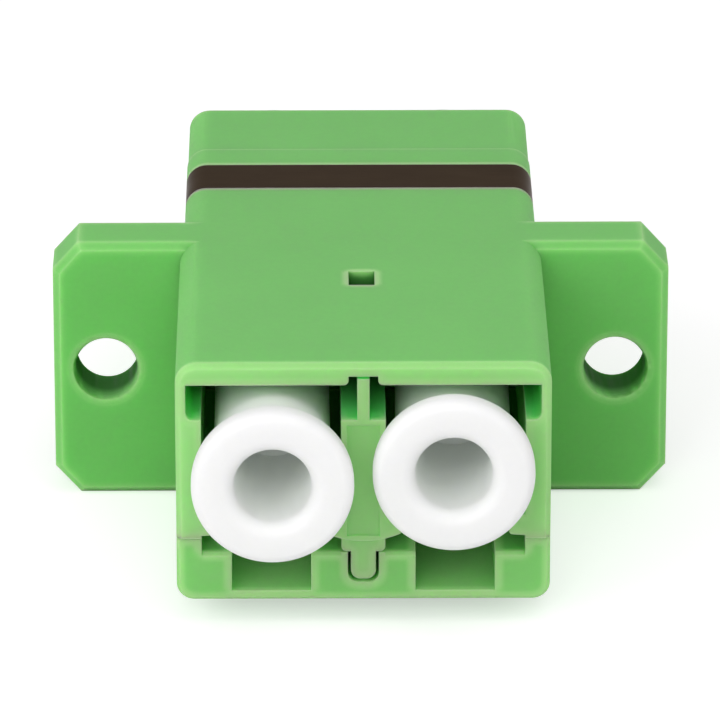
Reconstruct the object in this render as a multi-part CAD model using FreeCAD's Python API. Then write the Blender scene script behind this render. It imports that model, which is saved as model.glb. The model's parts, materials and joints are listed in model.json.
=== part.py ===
"""Duplex fibre adapter for a panel cut-out, with a two-hole flange and dust plugs.

Frame: the origin is midway between the flange holes, on the flange's rear face, where the panel lies.
+X is to the right for someone facing the front ports, +Y points to the rear, +Z is up.
All sizes are in millimetres.
"""
import FreeCAD, Part
import math
import os

# Ports
port_pitch = 6.25
port_width = 4.74           # square bore for the connector's body
top_wall = 0.77
side_wall = 0.86            # outside the ports, in front of the panel
notch_height = 1.27         # wider gallery at the top of each port
notch_length = 5.0
notch_round = 0.25
thin_wall = 0.34            # outer wall left beside the gallery
web_thickness = 0.41        # divider's thin upper part
web_notch = 0.1             # cut under the top wall at the web's end
relief_width = 1.0          # recess in the top wall astride the web
relief_height = 0.31
relief_round = 0.17
panel_margin = 0.2          # border of the shallow panel in the divider's ends
panel_depth = 0.05
rail_reach = 0.55           # ledges that carry the connector's lower corners
rail_height = 0.76
rail_rise = 0.05            # underside is higher at the free edge
rail_round = 0.13
rail_gap = 0.1              # rails end this far above the seam
divider_end_rise = 0.1      # divider's underside is an arc from rail to rail
divider_sag = 0.29

# Bottom cover
floor_thickness = 0.35
channel_width = 2.7         # path of the connector's latch arm
catch_height = 1.39         # blocks that the latch hooks behind
catch_length = 3.6
catch_bevel = 0.11
latch_gap = 0.64            # between catches and rails
cover_setback = 0.06        # its end faces stand behind the housing's
seam_bevel = 0.07

# Housing outline
front_reach = 13.9          # panel face to the front end
rear_reach = 12.1           # panel face to the rear end
insert_step = 0.11          # behind the flange the body is narrower, to pass through the panel
top_radius = 0.75           # long upper edges
bottom_radius = 0.6         # long lower edges
end_bevel = 0.17            # edges round both ends
nose_length = 4.7           # rear end that is a little smaller, to lead into the panel
nose_step = 0.03

# Flange
flange_thickness = 2.3
flange_drop = 0.82          # below the body
flange_cut_x = 0.9          # corner cuts
flange_cut_z = 1.0
flange_front_bevel = 0.24
flange_rear_bevel = 0.12
hole_spacing = 18.0
hole_edge_distance = 1.85   # from a hole's middle to the flange's end
hole_radius = 1.1
hole_front_round = 0.24
hole_rear_bevel = 0.12

# Tongue and groove along the middle of the cover
foot_inset = 0.01
foot_gap = 0.05
foot_round = 0.19
tongue_width = 0.85
tongue_round = 0.33
groove_clearance = 0.1
groove_depth = 1.08
groove_end_gap = 0.12

# Small recess in the housing's top
window_width = 0.9
window_length = 1.35
window_setback = 7.5        # from the front end
window_depth = 1.1

# Sleeve holders
plate_thickness = 1.3
plate_margin = 0.3          # seat cut this far into the walls around the ports
plate_clearance = 0.02
plate_round = 0.3
barrel_radius = 1.3
barrel_length = 3.6
mouth_flare = 0.35
peg_radius = 0.5
peg_length = 0.6
peg_offset = 2.2            # pegs above and below the middle of the plate
peg_clearance = 0.03

# Split alignment sleeves
sleeve_radius = 0.81
ferrule_radius = 0.625
sleeve_length = 6.8
sleeve_slit = 0.15
sleeve_clearance = 0.04
sleeve_end_gap = 0.05
ferrule_clearance = 0.06

# Panel clip
clip_width = 2.4
clip_thickness = 0.3
clip_setback = 3.47         # from the flange's rear face
clip_clearance = 0.02
clip_foot = 0.6
tab_height = 3.4
tab_rise = 0.4              # middle of the tab above the holes
tab_angle = 25.0
panel_gap = 1.6             # between the flange and the tab's free edge
tab_relief = 0.15

# Dust plugs
head_radius = 2.73
head_thickness = 1.0
head_round = 0.35
head_back_bevel = 0.25
shank_radius = 1.97
core_radius = 1.3
mouth_round = 0.5
plug_clearance = 0.07       # between plug and sleeve barrel
plug_end_gap = 0.3          # from the holder's plate when pushed home
plug_web = 2.5              # wall between the outer hollow and the socket
socket_spare = 0.4
front_left_standoff = 2.5   # of the head's back from the housing's end
front_right_standoff = 1.5
rear_standoff = 0.25

# Places worked out from the sizes above
port_x = port_pitch / 2
port_half = port_width / 2
port_outside = port_x + port_half
divider_side = port_x - port_half
body_side = port_outside + side_wall
insert_side = body_side - insert_step
nose_side = insert_side - nose_step
cover_height = floor_thickness + catch_height + latch_gap - rail_gap
body_height = top_wall + port_width + rail_height + rail_gap + cover_height
flange_half = hole_spacing / 2 + hole_edge_distance
flange_half_height = (body_height + flange_drop) / 2
body_top = flange_half_height
body_bottom = body_top - body_height
front_end = -front_reach
rear_end = rear_reach
nose_start = rear_end - nose_length
middle_y = (front_end + rear_end) / 2
port_top = body_top - top_wall
gallery_bottom = port_top - notch_height
relief_top = port_top + relief_height
port_axis_z = port_top - port_half
seam_z = body_bottom + cover_height
floor_z = body_bottom + floor_thickness
catch_top = floor_z + catch_height
groove_bottom = catch_top - groove_depth
rail_top = port_axis_z - port_half
rail_bottom = seam_z + rail_gap
plate_depth = plate_thickness + plate_clearance
plate_side = port_outside + plate_margin
port_end = middle_y - plate_depth
port_depth = middle_y - front_end - plate_thickness
clip_rear = clip_setback + clip_width
beyond = 5.0                # how far cutting tools run past what they cut


def box(x, y, z):
    """Box between the low and high values given for each axis."""
    corner = FreeCAD.Vector(x[0], y[0], z[0])
    return Part.makeBox(x[1] - x[0], y[1] - y[0], z[1] - z[0], corner)


def mirrored_x(shape):
    """Copy of a shape on the other side of the plane between the ports."""
    return shape.mirror(FreeCAD.Vector(0, 0, 0), FreeCAD.Vector(1, 0, 0))


def mirrored_y(shape):
    """Copy of a shape at the adapter's other end."""
    return shape.mirror(FreeCAD.Vector(0, middle_y, 0), FreeCAD.Vector(0, 1, 0))


def at_both_sides(shape):
    return [shape, mirrored_x(shape)]


def at_both_ends(shape):
    return [shape, mirrored_y(shape)]


def at_all_ports(shape):
    return at_both_sides(shape) + at_both_sides(mirrored_y(shape))


def rod_along_y(radius, y, x=0.0, z=0.0):
    """Cylinder between the low and high values of y."""
    return Part.makeCylinder(radius, y[1] - y[0], FreeCAD.Vector(x, y[0], z), FreeCAD.Vector(0, 1, 0))


def extruded(corners, step):
    """Solid made by moving the straight-sided face with these corners by a step."""
    return Part.Face(Part.makePolygon(corners + corners[:1])).extrude(step)


def prism_along_y(outline, y):
    """Solid with its outline given as (x, z) corners."""
    return extruded([FreeCAD.Vector(x, y[0], z) for x, z in outline], FreeCAD.Vector(0, y[1] - y[0], 0))


def prism_along_z(outline, z):
    """Solid with its outline given as (x, y) corners."""
    return extruded([FreeCAD.Vector(x, y, z[0]) for x, y in outline], FreeCAD.Vector(0, 0, z[1] - z[0]))


def prism_along_x(outline, x):
    """Solid with its outline given as (y, z) corners."""
    return extruded([FreeCAD.Vector(x[0], y, z) for y, z in outline], FreeCAD.Vector(x[1] - x[0], 0, 0))


def turned(outline, x, z=0.0):
    """Solid turned about a line along Y, its outline given as (radius, y) corners."""
    corners = [FreeCAD.Vector(radius, y, 0) for radius, y in outline]
    face = Part.Face(Part.makePolygon(corners + corners[:1]))
    solid = face.revolve(FreeCAD.Vector(0, 0, 0), FreeCAD.Vector(0, 1, 0), 360)
    solid.translate(FreeCAD.Vector(x, 0, z))
    return solid


def quarter_turn(centre, radius, start_angle):
    """Corners along a rounding of a turned outline, from the angle given through 90 degrees."""
    angles = [math.radians(start_angle + step) for step in (0, 45, 90)]
    return [(centre[0] + radius * math.cos(angle), centre[1] + radius * math.sin(angle)) for angle in angles]


def runs_along_y(edge):
    bounds = edge.BoundBox
    return bounds.XLength < 1e-5 and bounds.ZLength < 1e-5


def lies_at_y(edge, y):
    bounds = edge.BoundBox
    return abs(bounds.YMin - y) < 1e-5 and abs(bounds.YMax - y) < 1e-5


def rounded(shape, radius, chosen):
    """Shape with a fillet on each edge for which chosen(edge) is true."""
    return shape.makeFillet(radius, [edge for edge in shape.Edges if chosen(edge)])


def bevelled(shape, size, chosen):
    """Shape with a bevel on each edge for which chosen(edge) is true."""
    return shape.makeChamfer(size, [edge for edge in shape.Edges if chosen(edge)])


def rounded_along_y(shape, radius, z):
    """Shape with a fillet on each edge that runs along Y at the height given."""
    return rounded(shape, radius, lambda edge: runs_along_y(edge) and abs(edge.BoundBox.ZMin - z) < 1e-5)


def long_rounded_box(x, y, z, upper, lower):
    """Box with its edges along Y rounded, by one radius above and another below."""
    return rounded_along_y(rounded_along_y(box(x, y, z), upper, z[1]), lower, z[0])


def body_length(side, y, inset=0.0, bevel_at=None):
    """Stretch of the adapter's body, with one end's edges bevelled if bevel_at names its y."""
    z = (body_bottom + inset, body_top - inset)
    shape = long_rounded_box((-side, side), y, z, top_radius, bottom_radius)
    if bevel_at is None:
        return shape
    return bevelled(shape, end_bevel, lambda edge: lies_at_y(edge, bevel_at))


def flange_plate():
    cut_x = flange_half - flange_cut_x
    cut_z = flange_half_height - flange_cut_z
    right = [(cut_x, flange_half_height), (flange_half, cut_z),
             (flange_half, -cut_z), (cut_x, -flange_half_height)]
    left = [(-x, z) for x, z in reversed(right)]
    plate = prism_along_y(right + left, (-flange_thickness, 0))
    plate = bevelled(plate, flange_front_bevel, lambda edge: lies_at_y(edge, -flange_thickness))
    plate = bevelled(plate, flange_rear_bevel, lambda edge: lies_at_y(edge, 0))
    return plate.cut(at_both_sides(flange_hole()))


def flange_hole():
    """Cutting tool for a hole with rounded rims."""
    front_rim = quarter_turn((hole_radius + hole_front_round, hole_front_round - flange_thickness),
                             hole_front_round, 180)
    front = -flange_thickness - beyond
    rear_radius = hole_radius + hole_rear_bevel
    outline = [(0, front), (front_rim[-1][0], front)] + front_rim[::-1]
    outline += [(hole_radius, -hole_rear_bevel), (rear_radius, 0), (rear_radius, beyond), (0, beyond)]
    return turned(outline, hole_spacing / 2)


def whole_outside():
    """Outline of housing and cover together, before they are parted at the seam."""
    inside_flange = -flange_thickness / 2
    front = body_length(body_side, (front_end, inside_flange), bevel_at=front_end)
    insert = body_length(insert_side, (inside_flange, nose_start + end_bevel))
    nose = body_length(nose_side, (nose_start, rear_end), nose_step, bevel_at=rear_end)
    return flange_plate().fuse([front, insert, nose]).removeSplitter()


def cover_zone(setback):
    """Space below the seam that the cover takes from the outline."""
    deep = (body_bottom - beyond, seam_z)
    front = box((-body_side, body_side), (front_end + setback, -flange_thickness), deep)
    rear = box((-insert_side, insert_side), (-flange_thickness, rear_end - setback), deep)
    return [front, rear]


def bevelled_cover_zone():
    """The same space for the cover itself, set back at the ends and bevelled along the seam."""
    front, rear = [bevelled(block, seam_bevel, is_seam_edge) for block in cover_zone(cover_setback)]
    return front.fuse(rear)


def is_seam_edge(edge):
    """True on the upper edges of a block, apart from the one where front and rear blocks join."""
    return edge.BoundBox.ZMin > seam_z - 1e-5 and not lies_at_y(edge, -flange_thickness)


def port_bores():
    """Square bores from both ends up to the holders' plates, down to the cover's floor."""
    y = (front_end - beyond, middle_y)
    return at_all_ports(box((divider_side, port_outside), y, (floor_z, port_top)))


def port_galleries():
    """Wider upper galleries and the recess in the top wall beside the web."""
    y = (front_end - beyond, front_end + notch_length)
    relief = at_both_ends(relief_slot(y))
    tools = relief
    for side, ends in ((body_side, 0), (nose_side, 1)):
        gallery = box((web_thickness / 2, side - thin_wall), y, (gallery_bottom, port_top))
        gallery = rounded_along_y(gallery, notch_round, gallery_bottom)
        tools += at_both_sides(at_both_ends(gallery)[ends])
    return tools


def relief_slot(y):
    """Recess in the top wall on both sides of the web, its mouth rounded off towards the ports."""
    half = relief_width / 2
    slot = box((0, half), y, (gallery_bottom, relief_top))
    corner = box((half, half + relief_round), y, (port_top - relief_round, port_top + relief_round))
    corner = corner.cut(rod_along_y(relief_round, y, half + relief_round, port_top + relief_round))
    web = box((0, web_thickness / 2), (y[0] - 1, y[1] + 1), (gallery_bottom - 1, relief_top + 1))
    side = slot.fuse(corner).cut(web)
    notch = box((-half, half), (y[0], front_end + 2 * web_notch), (relief_top - web_notch, relief_top))
    return notch.fuse(at_both_sides(side))


def plate_seat():
    """Seat cut in the walls for the two sleeve-holder plates."""
    y = (middle_y - plate_depth, middle_y + plate_depth)
    z = (floor_z, port_top + plate_margin)
    return long_rounded_box((-plate_side, plate_side), y, z, plate_round, plate_round)


def outer_rail():
    """Ledge along a port's outer wall, its underside rising to a rounded free edge."""
    root = port_outside + side_wall / 4
    edge_x = port_outside - rail_reach
    edge_z = rail_bottom + rail_rise
    outline = [(root, rail_top), (edge_x, rail_top), (edge_x, edge_z), (root, rail_bottom)]
    return rounded_along_y(prism_along_y(outline, (front_end, port_end)), rail_round, edge_z)


def divider_block():
    """Divider's lower part with both inner ledges: its underside is one arc from edge to edge."""
    reach = divider_side + rail_reach
    edge_z = rail_bottom + divider_end_rise
    corners = [FreeCAD.Vector(x, front_end, z) for x, z in
               ((reach, edge_z), (reach, rail_top), (-reach, rail_top), (-reach, edge_z))]
    lowest = FreeCAD.Vector(0, front_end, edge_z - divider_sag)
    wire = Part.Wire(Part.makePolygon(corners).Edges + [Part.Arc(corners[3], lowest, corners[0]).toShape()])
    block = Part.Face(wire).extrude(FreeCAD.Vector(0, port_end - front_end, 0))
    return rounded_along_y(block, rail_round, edge_z)


def divider_foot():
    """Divider's narrower foot and the tongue that enters the cover's groove."""
    y = (front_end + cover_setback, port_end)
    foot_bottom = catch_top + foot_gap
    foot_side = divider_side - foot_inset
    foot = box((-foot_side, foot_side), y, (foot_bottom, rail_top))
    foot = rounded_along_y(foot, foot_round, foot_bottom)
    tongue_bottom = groove_bottom + groove_end_gap
    tongue = box((-tongue_width / 2, tongue_width / 2), y, (tongue_bottom, rail_top))
    return foot.fuse(rounded_along_y(tongue, tongue_round, tongue_bottom))


def divider_panel():
    """Shallow recess in the divider's end face."""
    side = divider_side - panel_margin
    z = (rail_bottom, gallery_bottom - panel_margin)
    return box((-side, side), (front_end - beyond, front_end + panel_depth), z)


def window():
    y_front = front_end + window_setback
    y = (y_front, y_front + window_length)
    return box((-window_width / 2, window_width / 2), y, (body_top - window_depth, body_top + beyond))


def clip_bed():
    """Shallow groove round the body for the panel clip, with a relief behind each tab."""
    y = (clip_setback - clip_clearance, clip_rear + clip_clearance)
    depth = clip_thickness + clip_clearance
    wide = insert_side + beyond
    around = box((-wide, wide), y, (body_bottom - beyond, body_top + beyond))
    core = body_core(depth, (y[0] - 1, y[1] + 1))
    foot_end = insert_side - clip_foot - clip_clearance
    middle = box((-foot_end, foot_end), (y[0] - 1, y[1] + 1), (body_bottom - 2 * beyond, port_axis_z))
    relief_z = (tab_rise - tab_height / 2 - tab_relief, tab_rise + tab_height / 2 + tab_relief)
    relief = box((insert_side - depth, wide), (panel_gap - tab_relief, y[1]), relief_z)
    return [around.cut([core, middle])] + at_both_sides(relief)


def body_core(depth, y):
    """Body section behind the flange, shrunk by a depth all round."""
    side = insert_side - depth
    z = (body_bottom + depth, body_top - depth)
    return long_rounded_box((-side, side), y, z, top_radius - depth, bottom_radius - depth)


def housing(outside):
    shape = outside.cut(cover_zone(-beyond))
    shape = shape.cut(port_bores() + port_galleries() + [plate_seat(), window()] + clip_bed())
    divider = divider_block().fuse(divider_foot())
    shape = shape.fuse(at_all_ports(outer_rail()) + at_both_ends(divider))
    return shape.cut(at_both_ends(divider_panel())).removeSplitter()


def catches():
    """Blocks with bevelled leading edges that the connector's latch hooks behind."""
    start = front_end + cover_setback
    root = floor_z - floor_thickness / 2
    outline = [(start, root), (start + catch_length, root), (start + catch_length, catch_top),
               (start + catch_bevel, catch_top), (start, catch_top - catch_bevel)]
    inner = prism_along_x(outline, (0, port_x - channel_width / 2))
    outer = prism_along_x(outline, (port_x + channel_width / 2, port_outside))
    return at_all_ports(inner) + at_all_ports(outer)


def cover_groove():
    side = tongue_width / 2 + groove_clearance
    y = (front_end - beyond, rear_end + beyond)
    groove = box((-side, side), y, (groove_bottom, catch_top + beyond))
    return rounded_along_y(groove, tongue_round, groove_bottom)


def bottom_cover(outside):
    everywhere = (front_end - beyond, rear_end + beyond)
    above_rib = box((-divider_side, divider_side), everywhere, (catch_top, seam_z + beyond))
    shape = outside.common(bevelled_cover_zone())
    shape = shape.cut(port_bores() + [above_rib]).fuse(catches())
    return shape.cut([cover_groove(), plate_seat()] + clip_bed()).removeSplitter()


def sleeve_holder(has_pegs):
    """Front half of the holder: a plate with two barrels. The rear half is its mirror image with pegs."""
    side = plate_side - plate_clearance
    face_y = middle_y - plate_thickness
    z = (floor_z + plate_clearance, port_top + plate_margin - plate_clearance)
    plate = long_rounded_box((-side, side), (face_y, middle_y), z, plate_round, plate_round)
    mouth_y = face_y - barrel_length
    barrel = rod_along_y(barrel_radius, (mouth_y, middle_y), port_x, port_axis_z)
    shape = plate.fuse(at_both_sides(barrel)).cut(at_both_sides(barrel_bore(mouth_y)))
    middle_z = (z[0] + z[1]) / 2
    peg_heights = (middle_z - peg_offset, middle_z + peg_offset)
    if has_pegs:
        peg_y = (middle_y - peg_length, middle_y + plate_thickness / 2)
        return mirrored_y(shape).fuse([rod_along_y(peg_radius, peg_y, 0, height) for height in peg_heights])
    hole_y = (middle_y - peg_length - peg_clearance, middle_y + beyond)
    return shape.cut([rod_along_y(peg_radius + peg_clearance, hole_y, 0, height) for height in peg_heights])


def barrel_bore(mouth_y):
    """Cutting tool for the ferrule's flared way in and the sleeve's wider room behind it."""
    lip = ferrule_radius + ferrule_clearance
    room = sleeve_radius + sleeve_clearance
    room_y = middle_y - sleeve_length / 2 - sleeve_end_gap
    outline = [(0, mouth_y - beyond), (lip + mouth_flare, mouth_y - beyond), (lip + mouth_flare, mouth_y),
               (lip, mouth_y + mouth_flare), (lip, room_y), (room, room_y), (room, middle_y + beyond),
               (0, middle_y + beyond)]
    return turned(outline, port_x, port_axis_z)


def split_sleeve(x):
    y = (middle_y - sleeve_length / 2, middle_y + sleeve_length / 2)
    tube = rod_along_y(sleeve_radius, y, x, port_axis_z).cut(rod_along_y(ferrule_radius, y, x, port_axis_z))
    slit = box((x - sleeve_slit / 2, x + sleeve_slit / 2), y, (port_axis_z, port_axis_z + beyond))
    return tube.cut(slit)


def panel_clip():
    """Bent strip round the body, with a sprung tab on each side and feet hooked under the cover."""
    y = (clip_setback, clip_rear)
    ring = body_core(0, y).cut(body_core(clip_thickness, (y[0] - 1, y[1] + 1)))
    foot_end = insert_side - clip_foot
    ring = ring.cut(box((-foot_end, foot_end), (y[0] - 1, y[1] + 1), (body_bottom - beyond, port_axis_z)))
    return ring.fuse(at_both_sides(clip_tab())).removeSplitter()


def clip_tab():
    angle = math.radians(tab_angle)
    inside = insert_side - clip_thickness
    inner_bend = clip_setback - clip_thickness * math.tan(angle / 2)
    run = (clip_setback - panel_gap - clip_thickness * math.sin(angle)) / math.cos(angle)
    tip = (insert_side + run * math.sin(angle), clip_setback - run * math.cos(angle))
    inner_tip = (tip[0] - clip_thickness * math.cos(angle), tip[1] - clip_thickness * math.sin(angle))
    rooted = clip_setback + clip_width / 4
    outline = [(inside, rooted), (insert_side, rooted), (insert_side, clip_setback),
               tip, inner_tip, (inside, inner_bend)]
    return prism_along_z(outline, (tab_rise - tab_height / 2, tab_rise + tab_height / 2))


def dust_plug(x, standoff):
    """Front plug turned round its axis, with its head the given distance off the housing's end."""
    back_y = front_end - standoff
    face_y = back_y - head_thickness
    inner_y = back_y + port_depth - plug_end_gap
    socket_radius = barrel_radius + plug_clearance
    socket_y = inner_y - (barrel_length - plug_end_gap) - socket_spare
    outline = quarter_turn((core_radius + mouth_round, face_y + mouth_round), mouth_round, 180)
    outline += quarter_turn((head_radius - head_round, face_y + head_round), head_round, 270)
    outline += [(head_radius, back_y - head_back_bevel), (head_radius - head_back_bevel, back_y),
                (shank_radius, back_y), (shank_radius, inner_y),
                (socket_radius, inner_y), (socket_radius, socket_y),
                (0, socket_y), (0, socket_y - plug_web), (core_radius, socket_y - plug_web)]
    return turned(outline, x, port_axis_z)


def make_parts():
    outside = whole_outside()
    rear_plug = mirrored_y(dust_plug(port_x, rear_standoff))
    return {
        "housing": housing(outside),
        "bottom_cover": bottom_cover(outside),
        "front_sleeve_holder": sleeve_holder(has_pegs=False),
        "rear_sleeve_holder": sleeve_holder(has_pegs=True),
        "left_sleeve": split_sleeve(-port_x),
        "right_sleeve": split_sleeve(port_x),
        "panel_clip": panel_clip(),
        "front_left_plug": dust_plug(-port_x, front_left_standoff),
        "front_right_plug": dust_plug(port_x, front_right_standoff),
        "rear_left_plug": mirrored_x(rear_plug),
        "rear_right_plug": rear_plug,
    }


def main():
    os.makedirs("parts", exist_ok=True)
    for name, shape in make_parts().items():
        shape.exportStep(f"parts/{name}.step")
        print(name, len(shape.Solids), round(shape.Volume, 3), shape.isValid())


main()
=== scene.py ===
"""Duplex fibre adapter: smooth skins, dust plugs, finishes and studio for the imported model."""
import json
import math

import bpy
from mathutils import Matrix, Vector


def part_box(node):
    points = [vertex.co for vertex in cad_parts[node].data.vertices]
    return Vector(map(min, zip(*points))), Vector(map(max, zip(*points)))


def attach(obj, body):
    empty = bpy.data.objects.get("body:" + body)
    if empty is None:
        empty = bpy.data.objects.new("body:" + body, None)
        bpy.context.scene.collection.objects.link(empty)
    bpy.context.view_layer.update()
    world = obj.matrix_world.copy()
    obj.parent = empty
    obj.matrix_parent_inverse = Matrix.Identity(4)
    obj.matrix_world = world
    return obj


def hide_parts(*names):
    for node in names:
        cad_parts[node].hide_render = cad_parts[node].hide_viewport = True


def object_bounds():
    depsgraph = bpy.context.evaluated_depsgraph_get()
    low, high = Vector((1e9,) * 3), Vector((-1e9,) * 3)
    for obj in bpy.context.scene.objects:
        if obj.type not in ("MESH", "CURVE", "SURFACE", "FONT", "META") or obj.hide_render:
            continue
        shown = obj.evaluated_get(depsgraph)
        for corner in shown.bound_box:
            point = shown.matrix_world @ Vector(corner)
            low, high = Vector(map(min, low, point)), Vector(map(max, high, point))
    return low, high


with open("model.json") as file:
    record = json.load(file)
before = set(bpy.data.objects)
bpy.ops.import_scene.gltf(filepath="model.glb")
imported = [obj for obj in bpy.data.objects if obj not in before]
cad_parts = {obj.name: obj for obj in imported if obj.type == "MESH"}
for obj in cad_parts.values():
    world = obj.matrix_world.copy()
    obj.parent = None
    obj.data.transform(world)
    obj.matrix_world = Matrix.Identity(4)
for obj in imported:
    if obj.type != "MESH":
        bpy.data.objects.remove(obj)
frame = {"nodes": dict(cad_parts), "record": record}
CAD_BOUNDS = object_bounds()

bl_info = {
    "name": "Duplex Fibre Adapter",
    "version": (1, 0, 0),
    "blender": (4, 5, 0),
    "location": "View3D > Sidebar > Adapter",
    "description": "Builds the smooth skins, dust plugs, finishes and studio of a duplex fibre adapter",
    "category": "Object",
}

MM = 0.001
PLUGS = ("front_left_plug", "front_right_plug", "rear_left_plug", "rear_right_plug")
SAME_PLACE = 0.01 * MM          # two heights or depths nearer than this count as the same
FLOOR_GAP = 0.01 * MM           # keeps the floor clear of the flange's underside
# painted light: plastic thinner than THIN_DEPTH is painted paler, standing in for light that comes through it
THIN_DEPTH = 0.32 * MM          # plastic thinner than this looks paler
CHANNEL_THIN_DEPTH = 0.38 * MM  # the same, for the floors of the latch channels seen from inside
LAMP_CENTRE = Vector((0, -6 * MM, 0))
LAMPS = (  # name, azimuth and elevation in degrees, distance, size, name of its power
    ("key_lamp", 29, 26, 170 * MM, 110 * MM, "key_power"),
    ("front_lamp", 2, 22, 170 * MM, 70 * MM, "front_power"),
    ("left_lamp", 80, 36, 170 * MM, 90 * MM, "left_power"),
    ("right_lamp", -80, 36, 170 * MM, 90 * MM, "right_power"),
    ("top_lamp", -30, 65, 200 * MM, 140 * MM, "fill_power"),
)


def plug_box(name):
    """Lowest and highest corners of a packed plug."""
    low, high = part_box(name)
    return Vector(low), Vector(high)


def head_radius_of_plugs():
    low, high = plug_box(PLUGS[0])
    return (high.x - low.x) / 2


class AdapterFinishes(bpy.types.PropertyGroup):
    """Colours and surface values of the adapter's materials, among them colours that paint light and shade
    into the green and white plastics.
    """
    housing_colour: bpy.props.FloatVectorProperty(
        name="Housing", description="Green of the moulded housing, cover and sleeve holders",
        subtype="COLOR", size=4, min=0.0, max=1.0, default=(0.188, 0.574, 0.142, 1.0))
    # painted light: brighter, deeper green near the ends of the ports and pockets, standing in for light
    # gathered through the translucent walls
    recess_colour: bpy.props.FloatVectorProperty(
        name="Painted recess glow", description="Deeper green where light gathers inside the ports and pockets",
        subtype="COLOR", size=4, min=0.0, max=1.0, default=(0.140, 0.860, 0.200, 1.0))
    # painted shade: dark green far into the recesses and on the walls of the screw holes
    thick_colour: bpy.props.FloatVectorProperty(
        name="Painted hole shade", description="Dark green inside holes through thick plastic",
        subtype="COLOR", size=4, min=0.0, max=1.0, default=(0.034, 0.185, 0.024, 1.0))
    # painted light: paler green at edges, thin walls and the adapter's ends, standing in for light coming
    # through thin plastic
    edge_glow_colour: bpy.props.FloatVectorProperty(
        name="Painted edge glow", description="Paler green where light comes through thin plastic",
        subtype="COLOR", size=4, min=0.0, max=1.0, default=(0.375, 0.710, 0.272, 1.0))
    housing_roughness: bpy.props.FloatProperty(
        name="Housing roughness", description="Roughness of the green plastic", subtype="FACTOR",
        min=0.0, max=1.0, default=0.62)
    plug_colour: bpy.props.FloatVectorProperty(
        name="Dust plugs", description="White of the soft dust plugs",
        subtype="COLOR", size=4, min=0.0, max=1.0, default=(0.930, 0.942, 0.926, 1.0))
    # painted light: brighter, greenish white deep in the plug hollows, standing in for light through the
    # walls and green light from the housing
    plug_hollow_glow_colour: bpy.props.FloatVectorProperty(
        name="Painted plug hollow glow", description="Greenish white deep in the plugs, where the housing shines through",
        subtype="COLOR", size=4, min=0.0, max=1.0, default=(0.942, 1.000, 0.938, 1.0))
    plug_roughness: bpy.props.FloatProperty(
        name="Plug roughness", description="Roughness of the white plastic", subtype="FACTOR",
        min=0.0, max=1.0, default=0.48)
    # a very dark reflectance for the clip's steel
    clip_colour: bpy.props.FloatVectorProperty(
        name="Clip", description="Darkened steel of the panel clip",
        subtype="COLOR", size=4, min=0.0, max=1.0, default=(0.043, 0.032, 0.025, 1.0))
    clip_roughness: bpy.props.FloatProperty(
        name="Clip roughness", description="Roughness of the darkened steel", subtype="FACTOR",
        min=0.0, max=1.0, default=0.34)
    sleeve_colour: bpy.props.FloatVectorProperty(
        name="Sleeves", description="Ivory of the zirconia sleeves",
        subtype="COLOR", size=4, min=0.0, max=1.0, default=(0.800, 0.780, 0.720, 1.0))


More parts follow.
